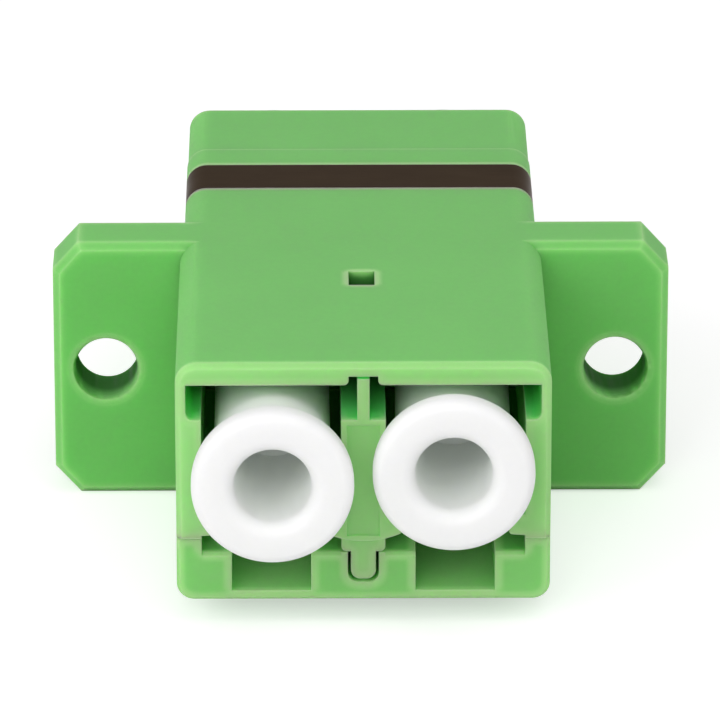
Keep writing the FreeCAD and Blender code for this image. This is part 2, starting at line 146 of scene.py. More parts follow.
class AdapterSizes(bpy.types.PropertyGroup):
    """Sizes of the pieces that are modelled here, and how softly edges are drawn."""
    head_radius: bpy.props.FloatProperty(
        name="Head radius", description="Outer radius of a dust plug's head", unit="LENGTH",
        subtype="DISTANCE", precision=5, default=head_radius_of_plugs())
    head_thickness: bpy.props.FloatProperty(
        name="Head thickness", description="Thickness of a dust plug's head", unit="LENGTH",
        subtype="DISTANCE", precision=5, default=1.0 * MM)
    head_round: bpy.props.FloatProperty(
        name="Head rounding", description="Radius round the front of a plug's head", unit="LENGTH",
        subtype="DISTANCE", precision=5, default=0.35 * MM)
    back_round: bpy.props.FloatProperty(
        name="Back rounding", description="Radius round the back of a plug's head", unit="LENGTH",
        subtype="DISTANCE", precision=5, default=0.28 * MM)
    mouth_round: bpy.props.FloatProperty(
        name="Mouth rounding", description="Radius where a plug's hollow opens", unit="LENGTH",
        subtype="DISTANCE", precision=5, default=0.5 * MM)
    hollow_radius: bpy.props.FloatProperty(
        name="Hollow radius", description="Radius of a plug's front hollow", unit="LENGTH",
        subtype="DISTANCE", precision=5, default=1.3 * MM)
    hollow_depth: bpy.props.FloatProperty(
        name="Hollow depth", description="Depth of a plug's front hollow", unit="LENGTH", subtype="DISTANCE",
        precision=5, default=6.2 * MM)
    shank_end_round: bpy.props.FloatProperty(
        name="Shank end rounding", description="Radius round the inner end of a plug's shank", unit="LENGTH",
        subtype="DISTANCE", precision=5, default=0.2 * MM)
    socket_round: bpy.props.FloatProperty(
        name="Socket rounding", description="Radius where a plug's socket opens", unit="LENGTH",
        subtype="DISTANCE", precision=5, default=0.12 * MM)
    shank_radius: bpy.props.FloatProperty(
        name="Shank radius", description="Radius of a plug's shank", unit="LENGTH", subtype="DISTANCE",
        precision=5, default=1.97 * MM)
    socket_radius: bpy.props.FloatProperty(
        name="Socket radius", description="Radius of the socket that runs over a sleeve barrel",
        unit="LENGTH", subtype="DISTANCE", precision=5, default=1.37 * MM)
    socket_depth: bpy.props.FloatProperty(
        name="Socket depth", description="Depth of the socket that runs over a sleeve barrel", unit="LENGTH",
        subtype="DISTANCE", precision=5, default=3.7 * MM)
    plug_sides: bpy.props.IntProperty(
        name="Plug sides", description="Sides that a plug is turned with", min=24, max=256, default=112)
    flange_thickness: bpy.props.FloatProperty(
        name="Flange thickness", description="Thickness of the flange that the screw holes run through",
        unit="LENGTH", subtype="DISTANCE", precision=5, default=2.3 * MM)
    channel_floor_height: bpy.props.FloatProperty(
        name="Channel floor height", description="Height of the latch channels' floors",
        unit="LENGTH", subtype="DISTANCE", precision=5, default=-3.565 * MM)
    hole_rim: bpy.props.FloatProperty(
        name="Hole rim", description="Widening of a screw hole at the flange's back, with its margin",
        unit="LENGTH", subtype="DISTANCE", precision=5, default=0.13 * MM)
    edge_softness: bpy.props.FloatProperty(
        name="Edge softness", description="Width over which the moulded edges are softened", unit="LENGTH",
        subtype="DISTANCE", precision=6, default=0.075 * MM)
    left_plug_lean: bpy.props.FloatProperty(
        name="Left plug lean", description="Lean of the loosely seated front left plug, to the right",
        subtype="ANGLE", default=math.radians(0.3))
    right_plug_lean: bpy.props.FloatProperty(
        name="Right plug lean", description="Lean of the loosely seated front right plug, to the right",
        subtype="ANGLE", default=math.radians(-0.5))


class AdapterStage(bpy.types.PropertyGroup):
    """Camera, lamps and surroundings."""
    azimuth: bpy.props.FloatProperty(
        name="Azimuth", description="Turn of the view from straight ahead of the front ports",
        subtype="ANGLE", default=math.radians(0.45))
    elevation: bpy.props.FloatProperty(
        name="Elevation", description="Height of the view above level", subtype="ANGLE",
        default=math.radians(21.37))
    distance: bpy.props.FloatProperty(
        name="Distance", description="From the camera to what it looks at", subtype="DISTANCE",
        unit="LENGTH", default=243.2 * MM)
    target: bpy.props.FloatVectorProperty(
        name="Target", description="Point that the camera looks at", subtype="XYZ", unit="LENGTH", size=3,
        default=(-0.0931 * MM, -10.916 * MM, 3.7095 * MM))
    lens: bpy.props.FloatProperty(
        name="Lens", description="Focal length on a 36 mm sensor", subtype="DISTANCE_CAMERA", default=356.9)
    key_power: bpy.props.FloatProperty(
        name="Key power", description="Power of the large lamp at the left", unit="POWER", min=0.0,
        precision=4, default=0.0766)
    front_power: bpy.props.FloatProperty(
        name="Front power", description="Power of the lamp straight ahead, which reaches into the ports",
        unit="POWER", min=0.0, precision=4, default=0.0392)
    left_power: bpy.props.FloatProperty(
        name="Left power", description="Power of the lamp beside the adapter, on the left", unit="POWER",
        min=0.0, precision=4, default=0.0418)
    right_power: bpy.props.FloatProperty(
        name="Right power", description="Power of the lamp beside the adapter, on the right", unit="POWER",
        min=0.0, precision=4, default=0.0261)
    fill_power: bpy.props.FloatProperty(
        name="Fill power", description="Power of the soft lamp above", unit="POWER", min=0.0,
        precision=4, default=0.0539)
    paper_glow: bpy.props.FloatProperty(
        name="Paper glow", description="Light added to the floor where it is seen, so that it shows white",
        min=0.0, default=0.47)
    sky_strength: bpy.props.FloatProperty(
        name="Surroundings", description="Light from the white surroundings", min=0.0, default=0.418)
    floor_colour: bpy.props.FloatVectorProperty(
        name="Floor", description="Colour of the paper under the adapter",
        subtype="COLOR", size=4, min=0.0, max=1.0, default=(0.86, 0.85, 0.86, 1.0))


# ---------------------------------------------------------------- working steps

def deselect_all():
    if bpy.context.object and bpy.context.object.mode != "OBJECT":
        bpy.ops.object.mode_set(mode="OBJECT")
    bpy.ops.object.select_all(action="DESELECT")


def select_only(obj):
    deselect_all()
    obj.select_set(True)
    bpy.context.view_layer.objects.active = obj


def edit(obj, mode):
    """Opens a mesh for editing with nothing selected, in vertex, edge or face mode."""
    select_only(obj)
    bpy.ops.object.mode_set(mode="EDIT")
    bpy.ops.mesh.select_mode(type=mode)
    bpy.ops.mesh.select_all(action="DESELECT")


def choose(obj, items, test):
    """Selects the faces or edges of a mesh for which a test is true."""
    bpy.ops.object.mode_set(mode="OBJECT")
    for item in getattr(obj.data, items):
        item.select = test(item)
    bpy.ops.object.mode_set(mode="EDIT")


def choose_face_at(obj, y, towards):
    """Selects the flat faces at a given y that look along +Y or -Y."""
    bpy.ops.mesh.select_mode(type="FACE")
    bpy.ops.mesh.select_all(action="DESELECT")

    def at_y(face):
        return abs(face.center.y - y) < SAME_PLACE and face.normal.y * towards > 0.99

    choose(obj, "polygons", at_y)


def choose_ring(obj, axis, radius, y):
    """Selects the ring of edges at a radius round a plug's axis and a given y."""
    bpy.ops.mesh.select_mode(type="EDGE")
    bpy.ops.mesh.select_all(action="DESELECT")
    points = obj.data.vertices

    def on_ring(vertex):
        offset = Vector((points[vertex].co.x - axis[0], points[vertex].co.z - axis[1]))
        return abs(points[vertex].co.y - y) < SAME_PLACE and abs(offset.length - radius) < 2 * SAME_PLACE

    choose(obj, "edges", lambda edge: all(on_ring(vertex) for vertex in edge.vertices))


def finish_shading(obj, angle):
    """Smooths a mesh up to an angle and lets its large faces lead the normals."""
    select_only(obj)
    bpy.ops.object.shade_smooth()
    edit(obj, "EDGE")
    bpy.ops.mesh.edges_select_sharp(sharpness=math.radians(angle))
    bpy.ops.mesh.mark_sharp()
    bpy.ops.object.mode_set(mode="OBJECT")
    modifier = obj.modifiers.new("weighted normals", "WEIGHTED_NORMAL")
    modifier.keep_sharp = True
    bpy.ops.object.modifier_apply(modifier=modifier.name)


def skin_of(node_name, body):
    """Merged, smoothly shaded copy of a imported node, which it stands for."""
    skin = bpy.data.objects.new(node_name + "_skin", frame["nodes"][node_name].data.copy())
    bpy.context.scene.collection.objects.link(skin)
    edit(skin, "VERT")
    bpy.ops.mesh.select_all(action="SELECT")
    bpy.ops.mesh.remove_doubles(threshold=0.002 * MM)
    bpy.ops.mesh.dissolve_limited(angle_limit=math.radians(0.6))
    bpy.ops.object.mode_set(mode="OBJECT")
    finish_shading(skin, 32)
    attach(skin, body)
    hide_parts(node_name)
    return skin


def give(obj, material):
    obj.data.materials.clear()
    obj.data.materials.append(material)


# ---------------------------------------------------------------- finishes

def socket(group, name, kind, way, default=None):
    made = group.interface.new_socket(name=name, in_out=way, socket_type=kind)
    if default is not None:
        made.default_value = default
    return made


def new_node(tree, kind, **values):
    """Adds a node; values name its properties, or its input sockets by title."""
    node = tree.nodes.new(kind)
    for name, value in values.items():
        if hasattr(node, name):
            setattr(node, name, value)
        else:
            node.inputs[name.replace("_", " ")].default_value = value
    return node


def moulding_group():
    """Shader group of moulded plastic: uneven colour, fine grain and softened edges, with painted light:
    paler edges, thin walls and ends, a painted glow near the ends of recesses, and painted shade far into
    recesses and in screw holes.
    """
    group = bpy.data.node_groups.get("moulded surface")
    if group:
        return group
    group = bpy.data.node_groups.new("moulded surface", "ShaderNodeTree")
    socket(group, "Colour", "NodeSocketColor", "INPUT", (0.5, 0.5, 0.5, 1))
    socket(group, "Pale Colour", "NodeSocketColor", "INPUT", (0.8, 0.8, 0.8, 1))
    socket(group, "Edge Width", "NodeSocketFloat", "INPUT", 0.07 * MM)
    socket(group, "Thin Depth", "NodeSocketFloat", "INPUT", THIN_DEPTH)
    socket(group, "Thin Strength", "NodeSocketFloat", "INPUT", 0.0)
    socket(group, "Rim Front", "NodeSocketFloat", "INPUT", 0.0)
    socket(group, "Rim Back", "NodeSocketFloat", "INPUT", 0.0)
    socket(group, "Rim Depth", "NodeSocketFloat", "INPUT", 0.3 * MM)
    socket(group, "Rim Strength", "NodeSocketFloat", "INPUT", 0.0)
    socket(group, "Recess Colour", "NodeSocketColor", "INPUT", (0.5, 0.5, 0.5, 1))
    socket(group, "Thick Colour", "NodeSocketColor", "INPUT", (0.5, 0.5, 0.5, 1))
    socket(group, "Recess Reach", "NodeSocketFloat", "INPUT", 3.0 * MM)
    socket(group, "Recess Depth", "NodeSocketFloat", "INPUT", 1.0)
    socket(group, "Recess Strength", "NodeSocketFloat", "INPUT", 0.0)
    socket(group, "Hole Side", "NodeSocketFloat", "INPUT", 0.0)
    socket(group, "Hole Radius", "NodeSocketFloat", "INPUT", 0.0)
    socket(group, "Hole Front", "NodeSocketFloat", "INPUT", 0.0)
    socket(group, "Hole Back", "NodeSocketFloat", "INPUT", 0.0)
    socket(group, "Mottle", "NodeSocketFloat", "INPUT", 0.05)
    socket(group, "Roughness", "NodeSocketFloat", "INPUT", 0.4)
    socket(group, "Grain Depth", "NodeSocketFloat", "INPUT", 0.002 * MM)
    socket(group, "Colour", "NodeSocketColor", "OUTPUT")
    socket(group, "Roughness", "NodeSocketFloat", "OUTPUT")
    socket(group, "Normal", "NodeSocketVector", "OUTPUT")
    link = group.links.new
    start = new_node(group, "NodeGroupInput")
    end = new_node(group, "NodeGroupOutput")
    place = new_node(group, "ShaderNodeTexCoord")

    # softened edges
    soft = new_node(group, "ShaderNodeBevel", samples=6)
    link(start.outputs["Edge Width"], soft.inputs["Radius"])

    # how thin the plastic is behind each point: corners and thin walls are painted paler, standing in for
    # light that comes through them
    inside = new_node(group, "ShaderNodeAmbientOcclusion", samples=8, inside=True, only_local=True)
    link(start.outputs["Thin Depth"], inside.inputs["Distance"])
    thin = new_node(group, "ShaderNodeMapRange")
    for title, value in (("From Min", 0.95), ("From Max", 0.80), ("To Min", 0.0), ("To Max", 1.0)):
        thin.inputs[title].default_value = value
    link(inside.outputs["AO"], thin.inputs["Value"])
    thin_share = new_node(group, "ShaderNodeMath", operation="MULTIPLY")
    link(thin.outputs["Result"], thin_share.inputs[0])
    link(start.outputs["Thin Strength"], thin_share.inputs[1])

    # painted light: paler near the adapter's ends, standing in for light that runs along the walls and leaves
    # at their ends
    along = new_node(group, "ShaderNodeSeparateXYZ")
    link(place.outputs["Object"], along.inputs[0])
    ends = []
    depths = []
    for title in ("Rim Front", "Rim Back"):
        gap = new_node(group, "ShaderNodeMath", operation="SUBTRACT")
        link(along.outputs["Y"], gap.inputs[0])
        link(start.outputs[title], gap.inputs[1])
        depth = new_node(group, "ShaderNodeMath", operation="ABSOLUTE")
        link(gap.outputs[0], depth.inputs[0])
        near = new_node(group, "ShaderNodeMapRange", interpolation_type="SMOOTHSTEP")
        near.inputs["To Min"].default_value = 1.0
        near.inputs["To Max"].default_value = 0.0
        link(depth.outputs[0], near.inputs["Value"])
        link(start.outputs["Rim Depth"], near.inputs["From Max"])
        ends.append(near)
        depths.append(depth)
    rim = new_node(group, "ShaderNodeMath", operation="MAXIMUM")
    link(ends[0].outputs["Result"], rim.inputs[0])
    link(ends[1].outputs["Result"], rim.inputs[1])
    rim_share = new_node(group, "ShaderNodeMath", operation="MULTIPLY")
    link(rim.outputs[0], rim_share.inputs[0])
    link(start.outputs["Rim Strength"], rim_share.inputs[1])
    pale = new_node(group, "ShaderNodeMath", operation="ADD", use_clamp=True)
    link(thin_share.outputs[0], pale.inputs[0])
    link(rim_share.outputs[0], pale.inputs[1])

    # how enclosed each point is by its own piece: recesses are painted with a glow near the ends and with
    # shade far in
    around = new_node(group, "ShaderNodeAmbientOcclusion", samples=8, inside=False, only_local=True)
    link(start.outputs["Recess Reach"], around.inputs["Distance"])
    enclosed = new_node(group, "ShaderNodeMapRange", interpolation_type="SMOOTHSTEP")
    for title, value in (("From Min", 0.55), ("From Max", 0.15), ("To Min", 0.0), ("To Max", 1.0)):
        enclosed.inputs[title].default_value = value
    link(around.outputs["AO"], enclosed.inputs["Value"])
    nearest = new_node(group, "ShaderNodeMath", operation="MINIMUM")
    link(depths[0].outputs[0], nearest.inputs[0])
    link(depths[1].outputs[0], nearest.inputs[1])
    open_end = new_node(group, "ShaderNodeMapRange", interpolation_type="SMOOTHSTEP")
    open_end.inputs["To Min"].default_value = 1.0
    open_end.inputs["To Max"].default_value = 0.0
    link(nearest.outputs[0], open_end.inputs["Value"])
    link(start.outputs["Recess Depth"], open_end.inputs["From Max"])
    recess = new_node(group, "ShaderNodeMath", operation="MULTIPLY", use_clamp=True)
    link(enclosed.outputs["Result"], recess.inputs[0])
    link(start.outputs["Recess Strength"], recess.inputs[1])

    # painted shade on the walls of the screw holes, darker towards their back
    aside = new_node(group, "ShaderNodeMath", operation="ABSOLUTE")
    link(along.outputs["X"], aside.inputs[0])
    off_axis = new_node(group, "ShaderNodeMath", operation="SUBTRACT")
    link(aside.outputs[0], off_axis.inputs[0])
    link(start.outputs["Hole Side"], off_axis.inputs[1])
    from_axis = new_node(group, "ShaderNodeCombineXYZ")
    link(off_axis.outputs[0], from_axis.inputs["X"])
    link(along.outputs["Z"], from_axis.inputs["Z"])
    radius = new_node(group, "ShaderNodeVectorMath", operation="LENGTH")
    link(from_axis.outputs[0], radius.inputs[0])
    in_hole = new_node(group, "ShaderNodeMath", operation="LESS_THAN")
    link(radius.outputs["Value"], in_hole.inputs[0])
    link(start.outputs["Hole Radius"], in_hole.inputs[1])
    hole_depth = new_node(group, "ShaderNodeMapRange", interpolation_type="SMOOTHSTEP")
    link(along.outputs["Y"], hole_depth.inputs["Value"])
    link(start.outputs["Hole Front"], hole_depth.inputs["From Min"])
    link(start.outputs["Hole Back"], hole_depth.inputs["From Max"])
    hole_share = new_node(group, "ShaderNodeMath", operation="MULTIPLY")
    link(in_hole.outputs[0], hole_share.inputs[0])
    link(hole_depth.outputs["Result"], hole_share.inputs[1])
    sunk = new_node(group, "ShaderNodeMath", operation="MAXIMUM")
    link(recess.outputs[0], sunk.inputs[0])
    link(hole_share.outputs[0], sunk.inputs[1])
    inner = new_node(group, "ShaderNodeMix", data_type="RGBA")
    link(open_end.outputs["Result"], inner.inputs[0])
    link(start.outputs["Thick Colour"], inner.inputs[6])
    link(start.outputs["Recess Colour"], inner.inputs[7])

    # broad unevenness of the pigment, and fine speckle
    broad = new_node(group, "ShaderNodeTexNoise", Scale=230.0, Detail=3.0, Roughness=0.55)
    fine = new_node(group, "ShaderNodeTexNoise", Scale=5200.0, Detail=2.0, Roughness=0.6)
    for noise in (broad, fine):
        link(place.outputs["Object"], noise.inputs["Vector"])
    both = new_node(group, "ShaderNodeMath", operation="MULTIPLY_ADD")
    both.inputs[1].default_value = 0.6
    link(fine.outputs["Fac"], both.inputs[0])
    link(broad.outputs["Fac"], both.inputs[2])
    centred = new_node(group, "ShaderNodeMath", operation="SUBTRACT")
    centred.inputs[1].default_value = 0.8
    link(both.outputs[0], centred.inputs[0])
    swing = new_node(group, "ShaderNodeMath", operation="MULTIPLY_ADD")
    swing.inputs[2].default_value = 1.0
    link(centred.outputs[0], swing.inputs[0])
    link(start.outputs["Mottle"], swing.inputs[1])
    shade = new_node(group, "ShaderNodeVectorMath", operation="SCALE")
    link(start.outputs["Colour"], shade.inputs[0])
    link(swing.outputs[0], shade.inputs["Scale"])
    # painted light: the pale colour goes over the base at thin walls and ends, then the painted recess glow
    # and shade go over that
    mix = new_node(group, "ShaderNodeMix", data_type="RGBA")
    link(pale.outputs[0], mix.inputs[0])
    link(shade.outputs["Vector"], mix.inputs[6])
    link(start.outputs["Pale Colour"], mix.inputs[7])
    deep = new_node(group, "ShaderNodeMix", data_type="RGBA")
    link(sunk.outputs[0], deep.inputs[0])
    link(mix.outputs[2], deep.inputs[6])
    link(inner.outputs[2], deep.inputs[7])
    link(deep.outputs[2], end.inputs["Colour"])

    # roughness follows the grain, and the grain is a shallow bump over the softened edges
    worn = new_node(group, "ShaderNodeMath", operation="MULTIPLY_ADD", use_clamp=True)
    worn.inputs[1].default_value = 0.16
    link(centred.outputs[0], worn.inputs[0])
    link(start.outputs["Roughness"], worn.inputs[2])
    duller = new_node(group, "ShaderNodeMath", operation="MULTIPLY_ADD", use_clamp=True)
    duller.inputs[1].default_value = 0.3
    link(recess.outputs[0], duller.inputs[0])
    link(worn.outputs[0], duller.inputs[2])
    link(duller.outputs[0], end.inputs["Roughness"])
    grain = new_node(group, "ShaderNodeTexNoise", Scale=9000.0, Detail=3.0, Roughness=0.6)
    link(place.outputs["Object"], grain.inputs["Vector"])
    bump = new_node(group, "ShaderNodeBump", Strength=1.0)
    link(start.outputs["Grain Depth"], bump.inputs["Distance"])
    link(grain.outputs["Fac"], bump.inputs["Height"])
    link(soft.outputs["Normal"], bump.inputs["Normal"])
    link(bump.outputs["Normal"], end.inputs["Normal"])
    return group


def brushed_group():
    """Shader group: fine rolling lines and dull patches of dark spring steel."""
    group = bpy.data.node_groups.get("rolled steel")
    if group:
        return group
    group = bpy.data.node_groups.new("rolled steel", "ShaderNodeTree")
    socket(group, "Colour", "NodeSocketColor", "INPUT", (0.1, 0.1, 0.1, 1))
    socket(group, "Roughness", "NodeSocketFloat", "INPUT", 0.3)
    socket(group, "Edge Width", "NodeSocketFloat", "INPUT", 0.05 * MM)
    socket(group, "Colour", "NodeSocketColor", "OUTPUT")
    socket(group, "Roughness", "NodeSocketFloat", "OUTPUT")
    socket(group, "Normal", "NodeSocketVector", "OUTPUT")
    link = group.links.new
    start = new_node(group, "NodeGroupInput")
    end = new_node(group, "NodeGroupOutput")
    place = new_node(group, "ShaderNodeTexCoord")
    stretch = new_node(group, "ShaderNodeMapping")
    stretch.inputs["Scale"].default_value = (1.0, 22.0, 1.0)
    link(place.outputs["Object"], stretch.inputs["Vector"])
    lines = new_node(group, "ShaderNodeTexNoise", Scale=900.0, Detail=4.0, Roughness=0.65)
    link(stretch.outputs["Vector"], lines.inputs["Vector"])
    patches = new_node(group, "ShaderNodeTexNoise", Scale=420.0, Detail=2.0, Roughness=0.5)
    link(place.outputs["Object"], patches.inputs["Vector"])
    tone = new_node(group, "ShaderNodeMapRange")
    for title, value in (("From Min", 0.3), ("From Max", 0.7), ("To Min", 0.82), ("To Max", 1.2)):
        tone.inputs[title].default_value = value
    link(lines.outputs["Fac"], tone.inputs["Value"])
    shade = new_node(group, "ShaderNodeVectorMath", operation="SCALE")
    link(start.outputs["Colour"], shade.inputs[0])
    link(tone.outputs["Result"], shade.inputs["Scale"])
    link(shade.outputs["Vector"], end.inputs["Colour"])
    dull = new_node(group, "ShaderNodeMath", operation="MULTIPLY_ADD", use_clamp=True)
    dull.inputs[1].default_value = 0.25
    link(patches.outputs["Fac"], dull.inputs[0])
    less = new_node(group, "ShaderNodeMath", operation="SUBTRACT")
    less.inputs[1].default_value = 0.12
    link(start.outputs["Roughness"], less.inputs[0])
    link(less.outputs[0], dull.inputs[2])
    link(dull.outputs[0], end.inputs["Roughness"])
    soft = new_node(group, "ShaderNodeBevel", samples=6)
    link(start.outputs["Edge Width"], soft.inputs["Radius"])
    bump = new_node(group, "ShaderNodeBump", Strength=0.6, Distance=0.0015 * MM)
    link(lines.outputs["Fac"], bump.inputs["Height"])
    link(soft.outputs["Normal"], bump.inputs["Normal"])
    link(bump.outputs["Normal"], end.inputs["Normal"])
    return group


def surface(name, group, roughness):
    """New material whose shader takes colour, roughness and normal from a group; returns all three."""
    material = bpy.data.materials.new(name)
    material.use_nodes = True
    tree = material.node_tree
    shader = tree.nodes["Principled BSDF"]
    detail = tree.nodes.new("ShaderNodeGroup")
    detail.node_tree = group
    tree.links.new(detail.outputs["Colour"], shader.inputs["Base Color"])
    tree.links.new(detail.outputs["Roughness"], shader.inputs["Roughness"])
    tree.links.new(detail.outputs["Normal"], shader.inputs["Normal"])
    detail.inputs["Roughness"].default_value = roughness
    return material, shader, detail


def paint_screw_hole_shade(detail):
    """Paints shade on the walls of the flange's screw holes, over the middle of its thickness; y is 0 at its
    back.
    """
    pattern = next(mount for mount in frame["record"]["mounts"] if mount["name"] == "flange_holes")["dims"]
    sizes = bpy.context.scene.adapter_sizes
    detail.inputs["Hole Side"].default_value = pattern["spacing_x_mm"] / 2 * MM
    detail.inputs["Hole Radius"].default_value = pattern["hole_r_mm"] * MM + sizes.hole_rim
    detail.inputs["Hole Front"].default_value = -0.95 * sizes.flange_thickness
    detail.inputs["Hole Back"].default_value = -0.55 * sizes.flange_thickness


def paint_channel_glow(material, detail):
    """Paints the thin floors of the latch channels paler from inside the cover, but not from below, standing
    in for light coming through them.
    """
    floor_height = bpy.context.scene.adapter_sizes.channel_floor_height
    tree = material.node_tree
    place = new_node(tree, "ShaderNodeTexCoord")
    along = new_node(tree, "ShaderNodeSeparateXYZ")
    tree.links.new(place.outputs["Object"], along.inputs[0])
    above = new_node(tree, "ShaderNodeMapRange", From_Min=floor_height - 0.2 * MM,
                     From_Max=floor_height - 0.1 * MM, To_Min=THIN_DEPTH, To_Max=CHANNEL_THIN_DEPTH)
    tree.links.new(along.outputs["Z"], above.inputs["Value"])
    tree.links.new(above.outputs["Result"], detail.inputs["Thin Depth"])


def moulded_green(name, rim_glow_strength, painted_recess_strength):
    """Translucent green plastic, painted paler at its edges and at the adapter's ends for light coming
    through, with a painted glow in its recesses near the ends and painted shade far into them.
    """
    finishes = bpy.context.scene.adapter_finishes
    sizes = bpy.context.scene.adapter_sizes
    low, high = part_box("housing")
    material, shader, detail = surface(name, moulding_group(), finishes.housing_roughness)
    detail.inputs["Colour"].default_value = finishes.housing_colour
    detail.inputs["Pale Colour"].default_value = finishes.edge_glow_colour
    detail.inputs["Edge Width"].default_value = sizes.edge_softness
    detail.inputs["Thin Strength"].default_value = 0.95
    detail.inputs["Recess Colour"].default_value = finishes.recess_colour
    detail.inputs["Thick Colour"].default_value = finishes.thick_colour
    detail.inputs["Recess Reach"].default_value = 5.0 * MM
    detail.inputs["Recess Depth"].default_value = 5.5 * MM
    detail.inputs["Recess Strength"].default_value = painted_recess_strength
    detail.inputs["Rim Front"].default_value = low[1]
    detail.inputs["Rim Back"].default_value = high[1]
    detail.inputs["Rim Strength"].default_value = rim_glow_strength
    detail.inputs["Mottle"].default_value = 0.14
    detail.inputs["Grain Depth"].default_value = 0.0022 * MM
    shader.inputs["IOR"].default_value = 1.5
    shader.inputs["Specular IOR Level"].default_value = 0.15
    shader.inputs["Subsurface Weight"].default_value = 1.0
    shader.inputs["Subsurface Radius"].default_value = (0.5, 1.0, 0.4)
    shader.inputs["Subsurface Scale"].default_value = 1.3 * MM
    return material, detail


def soft_white():
    finishes = bpy.context.scene.adapter_finishes
    material, shader, detail = surface("soft_white", moulding_group(), finishes.plug_roughness)
    detail.inputs["Colour"].default_value = finishes.plug_colour
    detail.inputs["Edge Width"].default_value = 0.03 * MM
    # painted light: deep in the plugs the white turns brighter and greenish, standing in for light through
    # the plug walls and green light from the housing
    detail.inputs["Recess Colour"].default_value = finishes.plug_hollow_glow_colour
    detail.inputs["Recess Reach"].default_value = 6.0 * MM
    detail.inputs["Recess Strength"].default_value = 1.0
    detail.inputs["Mottle"].default_value = 0.04
    detail.inputs["Grain Depth"].default_value = 0.0015 * MM
    shader.inputs["IOR"].default_value = 1.5
    shader.inputs["Subsurface Weight"].default_value = 1.0
    shader.inputs["Subsurface Radius"].default_value = (1.0, 1.0, 0.95)
    shader.inputs["Subsurface Scale"].default_value = 0.5 * MM
    return material


def dark_steel():
    finishes = bpy.context.scene.adapter_finishes
    material, shader, detail = surface("darkened_steel", brushed_group(), finishes.clip_roughness)
    detail.inputs["Colour"].default_value = finishes.clip_colour
    detail.inputs["Edge Width"].default_value = 0.05 * MM
    shader.inputs["Metallic"].default_value = 1.0
    shader.inputs["Specular Tint"].default_value = (0.52, 0.49, 0.46, 1.0)
    return material


def zirconia():
    finishes = bpy.context.scene.adapter_finishes
    material, shader, detail = surface("ivory_ceramic", moulding_group(), 0.16)
    detail.inputs["Colour"].default_value = finishes.sleeve_colour
    detail.inputs["Edge Width"].default_value = 0.03 * MM
    detail.inputs["Mottle"].default_value = 0.04
    detail.inputs["Grain Depth"].default_value = 0.0003 * MM
    shader.inputs["IOR"].default_value = 2.1
    shader.inputs["Subsurface Weight"].default_value = 0.2
    shader.inputs["Subsurface Radius"].default_value = (1.0, 0.9, 0.8)
    shader.inputs["Subsurface Scale"].default_value = 0.4 * MM
    return material


# ---------------------------------------------------------------- dust plugs

def turned_plug(name):
    """One dust plug at its packed place: head, shank, front hollow and rear socket."""
    sizes = bpy.context.scene.adapter_sizes
    low, high = plug_box(name)
    axis = ((low.x + high.x) / 2, (low.z + high.z) / 2)
    outward = -1 if name.startswith("front") else 1
    face_y = low.y if outward < 0 else high.y
    inner_y = high.y if outward < 0 else low.y
    back_y = face_y - outward * sizes.head_thickness
    deselect_all()
    bpy.ops.mesh.primitive_cylinder_add(
        vertices=sizes.plug_sides, radius=sizes.head_radius, depth=sizes.head_thickness,
        location=(axis[0], (face_y + back_y) / 2, axis[1]), rotation=(math.pi / 2, 0, 0))
    plug = bpy.context.object
    plug.name = name + "_turned"
    bpy.ops.object.transform_apply(location=True, rotation=True, scale=True)
    edit(plug, "FACE")
    choose_face_at(plug, back_y, -outward)
    bpy.ops.mesh.inset(thickness=sizes.head_radius - sizes.shank_radius)
    push(inner_y - back_y)
    bpy.ops.mesh.inset(thickness=sizes.shank_radius - sizes.socket_radius)
    push(outward * sizes.socket_depth)
    choose_face_at(plug, face_y, outward)
    bpy.ops.mesh.inset(thickness=sizes.head_radius - sizes.hollow_radius)
    push(-outward * sizes.hollow_depth)
    for radius, y, width, steps in ((sizes.head_radius, face_y, sizes.head_round, 7),
                                    (sizes.head_radius, back_y, sizes.back_round, 6),
                                    (sizes.hollow_radius, face_y, sizes.mouth_round, 8),
                                    (sizes.shank_radius, inner_y, sizes.shank_end_round, 3),
                                    (sizes.socket_radius, inner_y, sizes.socket_round, 2)):
        choose_ring(plug, axis, radius, y)
        bpy.ops.mesh.bevel(offset=width, offset_type="OFFSET", segments=steps, profile=0.5, affect="EDGES")
    bpy.ops.object.mode_set(mode="OBJECT")
    lean = {"front_left_plug": sizes.left_plug_lean, "front_right_plug": sizes.right_plug_lean}.get(name, 0)
    seat = Matrix.Translation((axis[0], inner_y, axis[1]))
    plug.data.transform(seat @ Matrix.Rotation(lean, 4, "Z") @ seat.inverted())
    finish_shading(plug, 40)
    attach(plug, name)
    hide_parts(name)
    return plug


def push(step_y):
    """Extrudes what is selected along Y."""
    bpy.ops.mesh.extrude_region_move(TRANSFORM_OT_translate={"value": (0, step_y, 0)})


# ---------------------------------------------------------------- stage

def white_paper():
    """Floor paper that shows pure white but keeps the adapter's soft shadow."""
    stage = bpy.context.scene.adapter_stage
    material = bpy.data.materials.new("white_paper")
    material.use_nodes = True
    tree = material.node_tree
    shader = tree.nodes["Principled BSDF"]
    shader.inputs["Base Color"].default_value = stage.floor_colour
    shader.inputs["Roughness"].default_value = 0.9
    shader.inputs["Specular IOR Level"].default_value = 0.0
    glow = tree.nodes.new("ShaderNodeEmission")
    total = tree.nodes.new("ShaderNodeAddShader")
    seen = seen_directly(tree)
    strength = new_node(tree, "ShaderNodeMath", operation="MULTIPLY")
    strength.inputs[1].default_value = stage.paper_glow
    tree.links.new(seen, strength.inputs[0])
    tree.links.new(strength.outputs[0], glow.inputs["Strength"])
    tree.links.new(shader.outputs[0], total.inputs[0])
    tree.links.new(glow.outputs[0], total.inputs[1])
    tree.links.new(total.outputs[0], tree.nodes["Material Output"].inputs["Surface"])
    return material


